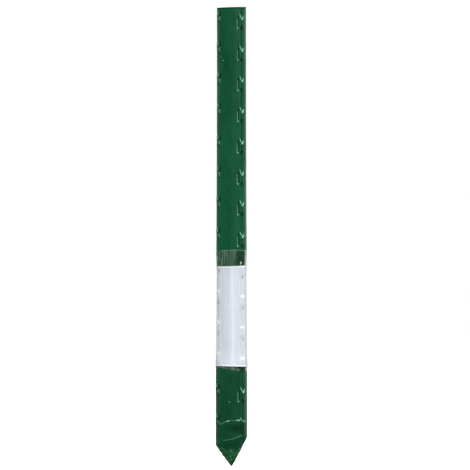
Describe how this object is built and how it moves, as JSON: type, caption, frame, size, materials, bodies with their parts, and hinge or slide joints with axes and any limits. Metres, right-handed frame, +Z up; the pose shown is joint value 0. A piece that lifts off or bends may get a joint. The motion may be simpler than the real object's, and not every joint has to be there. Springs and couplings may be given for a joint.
{
  "type": "delineator post",
  "caption": "Round plastic-coated steel marker stake with rows of small nubs, a white band under clear film, a flat top cap and a solid point to drive into the ground.",
  "frame": {"origin": "tip of the point, on the stake's axis", "axes": "+Z up along the stake from the tip to the cap; -Y is the front; the point's cone leans slightly towards -X"},
  "size_m": [0.0318, 0.0318, 0.459],
  "materials": {
    "zinc_steel": "zinc-coated strip steel, welded lengthwise",
    "green_coating": "dark green polyethylene, satin to gloss, fine lengthwise draw lines",
    "green_cap": "moulded dark green polyethylene, satin",
    "green_point": "hot-formed dark green polyethylene, rough towards the tip",
    "white_band": "plain opaque white tape, satin, wrapped once round with a short lap",
    "clear_film": "thin clear film, glossy, slightly milky"
  },
  "bodies": {
    "root": {"core_tube": "zinc_steel", "green_jacket": "green_coating", "top_cap": "green_cap", "foot_point": "green_point", "seam_bead": "green_point", "white_band": "white_band", "clear_film": "clear_film"}
  },
  "joints": []
}
